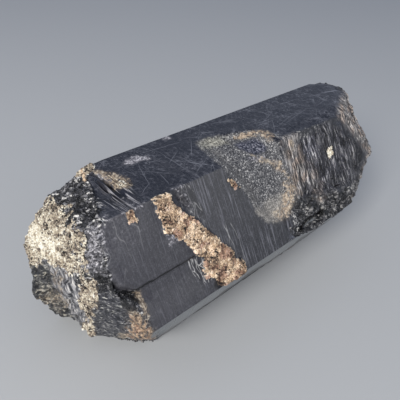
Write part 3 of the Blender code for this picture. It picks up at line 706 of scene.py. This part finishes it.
def settle_in_frame(mesh):
    """Flattens the base on Z = 0 and brings the mesh from its own millimetres to the frame."""
    points = mesh_array(mesh, "co")
    points[:, 2] = np.where(points[:, 2] < BASE_SNAP, 0, points[:, 2])
    set_points(mesh, (points + np.array(TO_FRAME)) * MM)


def sharpen(mesh):
    """Keeps the shading crisp wherever two faces meet at a clear angle."""
    surface = bmesh.new()
    surface.from_mesh(mesh)
    for edge in surface.edges:
        if edge.calc_face_angle(0) > SHARP_ANGLE:
            edge.smooth = False
    surface.to_mesh(mesh)
    surface.free()


def build_body(planes):
    item = to_object(convex_block(planes.values()), "morion_body")
    fine = item.modifiers.new("Fine surface", "REMESH")
    fine.mode = "VOXEL"
    fine.voxel_size = REMESH_SIZE
    apply_modifiers(item)
    crisp_edges(item.data, planes)
    finer_where_rough(item, planes)

    mesh = item.data
    skin = Skin(mesh, planes)
    layers = skin.layers()
    height = front_relief(skin) + top_relief(skin) + end_relief(skin, layers)
    height += chipped_edges(skin) + under_relief(skin) + fine_relief(skin, layers)
    off_base = fade(-skin.normals[:, 2], 0.6, 0.9)
    moved = skin.points + skin.normals * (height * off_base)[:, None]
    for centre, radius, shift in SHIFTS:
        moved[:, 0] += bump(np.linalg.norm(skin.points - np.array(centre), axis=1), radius) * shift
    into = -(np.array(planes["top"][0]) + np.array(planes["front"][0]))
    into /= np.linalg.norm(into)
    moved += into * scoop_depth(skin)[:, None]
    set_points(mesh, moved)
    for name, values in layers.items():
        store(mesh, name, values)
    # Where the painted shadow along the ledge's foot may lie
    ledge_shadow_zone = bump(skin.down - LEDGE_DOWN, 4.0) * smooth(skin.along, -73, -71)
    ledge_shadow_zone *= fade(skin.along, -50, -46) * skin.facing["front"]
    store(mesh, "ledge_shadow_zone", ledge_shadow_zone)
    faceted = layers["hackly"] * (1 - layers["frost"]) > 0.5
    smooth_faces = [not faceted[polygon.vertices[0]] for polygon in mesh.polygons]
    mesh.polygons.foreach_set("use_smooth", smooth_faces)
    sharpen(mesh)
    settle_in_frame(mesh)
    return item, skin, layers


def linear(hex_colour):
    """An sRGB hex colour as linear red, green, blue and alpha."""
    values = [int(hex_colour[place:place + 2], 16) / 255 for place in (1, 3, 5)]
    bent = [v / 12.92 if v <= 0.04045 else ((v + 0.055) / 1.055) ** 2.4 for v in values]
    return (*bent, 1)


def add(tree, kind, inputs=(), out=0, stops=(), **settings):
    """Adds a node with its settings and links, and returns one of its outputs.

    The inputs are a dictionary by socket, or a tuple in the sockets' own order.
    """
    node = tree.nodes.new("ShaderNode" + kind)
    for name, value in settings.items():
        setattr(node, name, value)
    if isinstance(inputs, tuple):
        inputs = dict(enumerate(inputs))
    for socket, value in inputs.items():
        if isinstance(value, bpy.types.NodeSocket):
            tree.links.new(value, node.inputs[socket])
        else:
            node.inputs[socket].default_value = value
    if stops:
        ramp = node.color_ramp
        while len(ramp.elements) < len(stops):
            ramp.elements.new(0.5)
        for element, (place, colour) in zip(ramp.elements, stops):
            element.position = place
            element.color = linear(colour)
    return node.outputs[out]


def per_mm(size):
    """Texture scale whose pattern repeats at about this many millimetres."""
    return 1 / (size * MM)


def new_material(name):
    material = bpy.data.materials.new(name)
    material.use_nodes = True
    return material, material.node_tree, material.node_tree.nodes["Principled BSDF"]


def scratches(tree, place):
    """Straight fine scratches on the top face, about 0.2 mm wide."""
    found = None
    for ends in SCRATCHES:
        start, end = [(Vector((x, FRONT_EDGE_Y + back, HEIGHT)) + Vector(TO_FRAME)) * MM
                      for x, back in ends]
        run = (end - start).normalized()
        half = (end - start).length / 2
        offset = add(tree, "VectorMath", (place, tuple((start + end) / 2)), **MINUS)
        fades = []
        for axis, edge, core in (((-run.y, run.x, 0), SCRATCH_EDGE * MM, SCRATCH_CORE * MM),
                                 (tuple(run), half, half * 0.5)):
            off = add(tree, "VectorMath", (offset, axis), out=1, operation="DOT_PRODUCT")
            off = add(tree, "Math", (off,), **UNSIGNED)
            fades.append(add(tree, "MapRange", (off, edge, core)))
        line = add(tree, "Math", tuple(fades), **TIMES)
        found = line if found is None else add(tree, "Math", (found, line), **LARGER)
    return found


def hairlines(tree, place, turn, spacing, length, width):
    """Long thin wandering lines: the places where a stretched noise crosses its middle value."""
    along = add(tree, "Mapping", {"Vector": place, "Rotation": (0, 0, turn),
                                  "Scale": (1, length, length)}, vector_type="TEXTURE")
    height = add(tree, "TexNoise", {"Vector": along, "Scale": per_mm(spacing), "Detail": 1})
    off = add(tree, "Math", (height, 0.5), **MINUS)
    off = add(tree, "Math", (off,), **UNSIGNED)
    return add(tree, "MapRange", (off, width, 0))


def warmed(tree, place, tone, share):
    """Tints feldspar tan, and mauve in patches about 4 mm across."""
    tone = add(tree, "Mix", {0: share, 6: tone, 7: linear(WARM_TINT)}, **TINT)
    patches = add(tree, "TexNoise", {"Vector": place, "Scale": per_mm(4), "Detail": 3})
    mauve = add(tree, "MapRange", (patches, 0.50, 0.58, 0, 0.95))
    mauve = add(tree, "Math", (mauve, share), **TIMES)
    return add(tree, "Mix", {0: mauve, 6: tone, 7: linear(MAUVE_TINT)}, **TINT)


def surface_textures(tree, place, bent, share):
    """Every pattern that a finish of the crystal is coloured or raised by, from 0 to 1."""
    texture = {}
    for name, (mapping, size, detail, roughness) in TEXTURES.items():
        where = place
        if mapping:
            kind, turn, scale = mapping
            where = add(tree, "Mapping", {
                "Vector": bent if name == "ridged" else place, "Scale": scale,
                "Rotation": (radians(turn), 0, 0)}, vector_type=kind)
        texture[name] = add(tree, "TexNoise", {"Vector": where, "Scale": per_mm(size),
                                               "Detail": detail, "Roughness": roughness})
    slanted = add(tree, "Mapping", {"Vector": place, "Rotation": (0.9, 0.3, 0),
                                    "Scale": (1, 1, 3)}, vector_type="TEXTURE")
    for name, where, size in (("crumb", place, 0.9), ("chip", slanted, 0.65),
                              ("facet", slanted, 2.2)):
        cells = add(tree, "TexVoronoi", {"Vector": where, "Scale": per_mm(size)}, out="Color")
        texture[name] = add(tree, "SeparateColor", (cells,))

    broken = add(tree, "Math", (texture["facet"], 0.38), **TIMES)
    texture["broken"] = add(tree, "Math", (texture["chip"], 0.62, broken), **TIMES_PLUS)
    texture["sanded"] = add(tree, "Mix", {0: 0.6, 2: texture["specks"], 3: texture["dust"]})
    streaky = add(tree, "MapRange", (texture["lined"], 0.35, 0.65))
    texture["streaky"] = add(tree, "Mix", {0: 0.55, 2: texture["crumb"], 3: streaky})
    grainy = add(tree, "MapRange", (share["mottle"], 0, 1, -0.2, 0.62))
    # Cream patches lighten the feldspar; on the near end this is partly painted light
    for pattern, weight in ((texture["crumb"], 0.5), (share["cream"], 0.45),
                            (share["warm"], 0.2), (texture["specks"], 1)):
        grainy = add(tree, "Math", (pattern, weight, grainy), **TIMES_PLUS)
    texture["grainy"] = add(tree, "Math", (grainy, 0.5), **MINUS)
    return texture


def morion_with_crust():
    """Morion quartz, grown faces and fresh breaks, with potash feldspar grown on it.

    Irradiated quartz is nearly black and glassy. Its grown faces are fine-striated and satin, its
    breaks are hackly and glitter in small facets, and the feldspar is matt, cream to tan.
    """
    material, tree, shader = new_material("morion_quartz_with_feldspar")
    place = add(tree, "TexCoord", out="Object")
    share = {}
    for name in (*PATCHES, "ledge_shadow_zone", "mottle", "edge"):
        share[name] = add(tree, "Attribute", out="Fac", attribute_name=name)
    bend = add(tree, "TexNoise", {"Vector": place, "Scale": per_mm(5), "Detail": 3}, out="Color")
    bent, wavy = [add(tree, "Mix", {0: bending, 4: place, 5: bend}, out=1, data_type="VECTOR")
                  for bending in (2 * MM, 1 * MM)]
    texture = surface_textures(tree, place, bent, share)
    tones = {}
    for name, (pattern, *stops) in TONES.items():
        tones[name] = add(tree, "ValToRGB", (texture[pattern],), stops=stops)

    # How much of what lies under it each finish covers. Where two of them meet, their grains mix
    # instead of fading.
    cover = dict(share)
    spread = add(tree, "Math", (texture["chip"], 0.8, -0.4), **TIMES_PLUS)
    round_spread = add(tree, "Math", (texture["crumb"], 0.7, -0.35), **TIMES_PLUS)
    for name, start, grain in (("feldspar", 0.42, round_spread), ("hackly", 0.42, spread),
                               ("frost", 0.5, spread), ("stain", 0.42, round_spread)):
        mixed = add(tree, "Math", (share[name], grain), **PLUS)
        cover[name] = add(tree, "MapRange", (mixed, start, start + 0.16))
    tinted = add(tree, "Math", (cover["feldspar"], cover["stain"]), **LARGER)
    for name, grained in (("frost", 0.6), ("stain", 0.45)):
        cover[name] = add(tree, "Mix", {0: grained, 2: share[name], 3: cover[name]})
    cover["combed"] = add(tree, "Math", (share["combed"], 0.85), **TIMES)

    # Grown faces: charcoal at the sides; a painted reflection makes the top blue-black, and painted
    # light makes them paler towards the near end
    facing_up = add(tree, "SeparateXYZ", (add(tree, "NewGeometry", out="Normal"),), out="Z")
    on_top = add(tree, "MapRange", (facing_up, 0.68, 0.86))
    lengthwise = add(tree, "SeparateXYZ", (place,), out="X")
    # Painted light: paler towards the near end
    near_end_painted_light = add(tree, "MapRange", (lengthwise, -15 * MM, -80 * MM))
    tone = add(tree, "Mix", {0: near_end_painted_light, 6: linear("#1b1c21"), 7: linear("#3b3a3f")}, **COLOUR)
    # Painted reflection: faces that point up are tinted blue-black
    tone = add(tree, "Mix", {0: on_top, 6: tone, 7: linear("#0e121f")}, **COLOUR)
    patches = texture["patches"]
    growth = add(tree, "MapRange", (patches, 0.35, 0.65, 0.05, 0.35))
    growth = add(tree, "Math", (growth, share["striated"]), **PLUS)
    tone = add(tree, "Mix", {0: growth, 6: tone, 7: tones["growth"]}, **COLOUR, blend_type="ADD")

    # Scuffs 0.5 to 1.5 mm apart, with finer dust between them
    scuffs = add(tree, "MapRange", (texture["scuffed"], 0.52, 0.70, 0, 0.3))
    dusty = add(tree, "MapRange", (texture["dust"], 0.55, 0.68, 0, 0.3))
    cover["scuffs"] = add(tree, "Math", (scuffs, dusty), **LARGER)

    # Pale veins in the front face, and short spikes where they are strongest
    veins = hairlines(tree, bent, 0, 5, 5, 0.012)
    spikes = hairlines(tree, bent, 0.3, 1.7, 5, 0.045)
    strong = add(tree, "MapRange", (share["vein"], 0.5, 0.8))
    spikes = add(tree, "Math", (spikes, strong), **TIMES)
    veins = add(tree, "Math", (veins, spikes), **LARGER)
    cover["vein"] = add(tree, "Math", (veins, share["vein"]), **TIMES)

    # Marks of wear on the top face
    worn = add(tree, "MapRange", (patches, 0.40, 0.6, 0.12, 0.5))
    marks = add(tree, "MapRange", (texture["scuffed"], 0.53, 0.66, 0, 0.7))
    for turn, spacing in ((0, 3), (0.5, 4.5), (-0.8, 6), (1.2, 6)):
        fine = hairlines(tree, bent, turn, spacing, 12, 0.006)
        marks = add(tree, "Math", (marks, fine), **LARGER)
    marks = add(tree, "Math", (marks, worn), **TIMES)
    straight = add(tree, "Math", (scratches(tree, wavy), 0.45), **TIMES)
    marks = add(tree, "Math", (marks, straight), **LARGER)
    cover["marks"] = add(tree, "Math", (marks, on_top), **TIMES)
    tones.update(scuffs=linear("#8c8c93"), marks=linear("#9fa1aa"), vein=linear("#c4c3c1"))

    # Painted shade: broken stretches get darker towards the far end; the ridged part varies in
    # patches of tone and also gets painted shade towards the far end
    far_end_painted_shade = add(tree, "MapRange", (lengthwise, -20 * MM, 20 * MM, 1, 0.45))
    patchy_tone_and_far_shade = add(tree, "MapRange", (patches, 0.40, 0.58, 0.55, 1.3))
    ridged_far_painted_shade = add(tree, "MapRange", (lengthwise, 34 * MM, 48 * MM, 1, 0.6))
    patchy_tone_and_far_shade = add(tree, "Math", (patchy_tone_and_far_shade, ridged_far_painted_shade), **TIMES)
    for name, dark in (("hackly", far_end_painted_shade), ("ridged", patchy_tone_and_far_shade)):
        tones[name] = add(tree, "Mix", {0: 1, 6: tones[name], 7: dark}, **TINT)
    # Some of the flakes beside it are tan
    tanned = add(tree, "Mix", {0: 1, 6: tones["flaked"], 7: linear("#fff1e6")}, **TINT)
    tan_share = add(tree, "MapRange", (share["mottle"], 0.45, 0.6))
    tones["flaked"] = add(tree, "Mix", {0: tan_share, 6: tones["flaked"], 7: tanned}, **COLOUR)
    for name in ("pale", "green"):
        tones["ground"] = add(tree, "Mix", {0: share[name], 6: tones["ground"], 7: tones[name]},
                              **COLOUR)
    for name in COATS:
        tone = add(tree, "Mix", {0: cover[name], 6: tone, 7: tones[name]}, **COLOUR)

    warmth = add(tree, "Math", (share["warm"], tinted), **TIMES)
    tone = warmed(tree, place, tone, warmth)
    # Painted shade: a darker copy of the tone, laid on the clefts
    shaded = add(tree, "Mix", {0: 1, 6: tone, 7: linear("#56565a")}, **TINT)
    # Painted shadow: a black line 1 mm wide along the ledge's foot
    height = add(tree, "SeparateXYZ", (bent,), out="Z")
    off = add(tree, "Math", (height, LEDGE_HEIGHT * MM), **MINUS)
    off = add(tree, "Math", (off,), **UNSIGNED)
    ledge_foot_shadow = add(tree, "MapRange", (off, 0.7 * MM, 0.3 * MM))
    near_ledge = add(tree, "MapRange", (share["ledge_shadow_zone"], 0.1, 0.3))
    ledge_foot_shadow = add(tree, "Math", (ledge_foot_shadow, near_ledge), **TIMES)
    # Clefts get painted shade, the lower edge of the front face is painted pale grey, partly frost
    # of a worn edge and partly a painted reflection of the floor below, and the ledge's foot gets a
    # black painted shadow
    for covered, colour in ((share["cleft"], shaded), (share["edge"], linear("#797c7e")),
                            (ledge_foot_shadow, linear("#050507"))):
        tone = add(tree, "Mix", {0: covered, 6: tone, 7: colour}, **COLOUR)
    tree.links.new(tone, shader.inputs["Base Color"])

    # Glassy where it grew, duller on breaks, matt on feldspar
    gloss = add(tree, "MapRange", (texture["growth"], 0.3, 0.7, 0.24, 0.40))
    for covered, duller in ((share["hackly"], 0.36), (share["ground"], 0.6),
                            (cover["frost"], 0.55), (cover["feldspar"], 0.78)):
        gloss = add(tree, "Mix", {0: covered, 2: gloss, 3: duller})
    tree.links.new(gloss, shader.inputs["Roughness"])
    shader.inputs["IOR"].default_value = QUARTZ_IOR

    # Relief finer than the mesh, in millimetres
    relief = add(tree, "Math", (texture["growth"], 0.10), **TIMES)
    calm = add(tree, "MapRange", (share["lined"], 0, 1, 1, 0.3))
    uneven = add(tree, "Math", (share["hackly"], calm), **TIMES)
    soft = add(tree, "Math", (share["ground"], 0.4), **TIMES)
    for other in (share["feldspar"], share["ridged"], soft):
        uneven = add(tree, "Math", (uneven, other), **LARGER)
    grit = add(tree, "Math", (texture["specks"], uneven), **TIMES)
    relief = add(tree, "Math", (grit, 0.8, relief), **TIMES_PLUS)
    for name, depth in STREAK_DEPTH.items():
        ridges = add(tree, "Math", (texture[name], share[name]), **TIMES)
        relief = add(tree, "Math", (ridges, depth, relief), **TIMES_PLUS)
    normal = add(tree, "Bump", {"Height": relief, "Distance": MM, "Strength": 1})
    tree.links.new(normal, shader.inputs["Normal"])
    return material


def grain_material(name, stops, roughness):
    """Loose-grained feldspar or quartz: each grain has one tone of its own."""
    material, tree, shader = new_material(name)
    tint, warmth = [add(tree, "Attribute", out="Fac", attribute_name=layer)
                    for layer in ("tint", "warm")]
    tone = add(tree, "ValToRGB", (tint,), stops=stops)
    place = add(tree, "TexCoord", out="Object")
    tone = warmed(tree, place, tone, warmth)
    specks = add(tree, "TexNoise", {"Vector": place, "Scale": per_mm(0.5), "Detail": 2})
    darker = add(tree, "MapRange", (specks, 0.3, 0.6, 0.6, 1))
    tone = add(tree, "Mix", {0: 1, 6: tone, 7: darker}, **TINT)
    tree.links.new(tone, shader.inputs["Base Color"])
    shader.inputs["Roughness"].default_value = roughness
    shader.inputs["IOR"].default_value = FELDSPAR_IOR
    normal = add(tree, "Bump", {"Height": specks, "Distance": 0.3 * MM, "Strength": 0.6})
    tree.links.new(normal, shader.inputs["Normal"])
    return material


def scatter_grains(name, body, weight, tint, warm, count, sizes, seed):
    """One piece of many small angular grains, bedded in the body where the weight is high."""
    dice = np.random.default_rng(seed)
    points = mesh_array(body.data, "co")
    normals = mesh_array(body.data, "normal")
    # Each vertex stands for its own share of the surface
    area = np.zeros(len(points))
    for polygon in body.data.polygons:
        area[list(polygon.vertices)] += polygon.area / len(polygon.vertices)
    chance = np.clip(weight, 0, 1) * area
    picked = dice.choice(len(points), size=count, replace=False, p=chance / chance.sum())
    shape = bmesh.new()
    bmesh.ops.create_icosphere(shape, subdivisions=1, radius=0.5)
    grain = bpy.data.meshes.new("grain")
    shape.to_mesh(grain)
    shape.free()
    corners = len(grain.vertices)
    joined = bmesh.new()
    for index in picked:
        size = dice.uniform(*sizes) * MM
        stretch = Matrix.Diagonal((*(size * dice.uniform(*STRETCHES)), 1))
        turn = Euler(dice.uniform(0, FULL_TURN, 3)).to_matrix().to_4x4()
        centre = Vector(points[index]) - Vector(normals[index]) * size * BEDDED
        copy = grain.copy()
        copy.transform(Matrix.Translation(centre) @ turn @ stretch)
        joined.from_mesh(copy)
        bpy.data.meshes.remove(copy)
    for vertex in joined.verts:
        vertex.co.z = max(vertex.co.z, 0.0)
    item = to_object(joined, name)
    tints = np.clip(tint[picked] + dice.normal(0, TINT_SPREAD, count), 0, 1)
    store(item.data, "tint", np.repeat(tints, corners))
    store(item.data, "warm", np.repeat(warm[picked], corners))
    return item


def build_crystal():
    planes = side_planes()
    planes.update(end_planes(NEAR_FACETS, -1))
    planes.update(end_planes(FAR_FACETS, 1))
    body, skin, layers = build_body(planes)
    body.data.materials.append(morion_with_crust())

    # Grains are paler in the cream patches, which on the near end partly carry painted light
    bright = 0.14 + 0.5 * layers["mottle"] + 0.5 * layers["cream"] + 0.07 * layers["warm"]
    crusted = smooth(layers["feldspar"], 0.3, 0.9) * (1 - 0.25 * layers["warm"])
    crusted *= (1 - layers["cleft"]) * (1 - 0.5 * layers["cream"])
    smoother = smooth(rough(skin.points, 4.5, 60), -0.2, 0.4)
    crusted *= 1 - 0.5 * layers["warm"] * (1 - smoother)
    feldspar = scatter_grains("feldspar_grains", body, crusted, bright, layers["warm"],
                              int(GRAIN_COUNT * QUICK_SHARE), GRAIN_SIZES, 5)
    feldspar.data.materials.append(grain_material("potash_feldspar_grains", GRAIN_TONES, 0.72))
    hackly = layers["hackly"] * (1 - layers["feldspar"]) * (1 - layers["frost"])
    struck = np.max([layers[name] for name in STREAKED], axis=0)
    hackly *= (skin.near_gap < 4) * (1 - struck)
    plain = np.zeros(len(hackly))
    chips = scatter_grains("quartz_chips", body, smooth(hackly, 0.4, 0.8), plain + CHIP_TINT,
                           plain, int(CHIP_COUNT * QUICK_SHARE), CHIP_SIZES, 6)
    chips.data.materials.append(grain_material("broken_morion_chips", CHIP_TONES, 0.35))
    for item in (body, feldspar, chips):
        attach(item, "root")
    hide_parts(NODE)


def build_stage():
    floor = bmesh.new()
    bmesh.ops.create_grid(floor, x_segments=1, y_segments=1, size=4.0)
    item = to_object(floor, "floor")
    material, _, shader = new_material("pale_floor")
    shader.inputs["Base Color"].default_value = linear("#b7b9ba")
    shader.inputs["Roughness"].default_value = 0.6
    item.data.materials.append(material)


def area_light(name, place, size, power, colour="#ffffff"):
    light = bpy.data.lights.new(name, "AREA")
    light.size = size
    light.energy = power
    light.color = linear(colour)[:3]
    item = bpy.data.objects.new(name, light)
    item.location = place
    item.rotation_euler = (-Vector(place)).to_track_quat("-Z", "Y").to_euler()
    bpy.context.scene.collection.objects.link(item)


def build_light():
    area_light("key", (-0.95, -0.40, 0.75), 0.45, 16, "#fffcf8")
    area_light("fill", (0.75, -0.95, 0.55), 0.8, 2.5)
    world = bpy.data.worlds.new("studio")
    world.use_nodes = True
    backdrop = world.node_tree.nodes["Background"]
    backdrop.inputs["Color"].default_value = linear("#bfc8dc")
    backdrop.inputs["Strength"].default_value = 0.55
    bpy.context.scene.world = world
    bpy.context.scene.view_settings.view_transform = "Standard"


def build_camera():
    azimuth, pitch, roll = [radians(angle) for angle in CAMERA_TURN]
    forward = Vector((sin(azimuth) * cos(pitch), cos(azimuth) * cos(pitch), -sin(pitch)))
    level = forward.cross(Vector((0, 0, 1))).normalized()
    upright = level.cross(forward)
    right = level * cos(roll) + upright * sin(roll)
    up = upright * cos(roll) - level * sin(roll)
    data = bpy.data.cameras.new("camera")
    data.sensor_width, data.lens = CAMERA_LENS
    data.clip_start = 0.01
    camera = bpy.data.objects.new("camera", data)
    turn = Matrix((right, up, -forward)).transposed().to_4x4()
    camera.matrix_world = Matrix.Translation(CAMERA_PLACE) @ turn
    bpy.context.scene.collection.objects.link(camera)
    bpy.context.scene.camera = camera


build_camera()
build_crystal()
build_stage()
build_light()
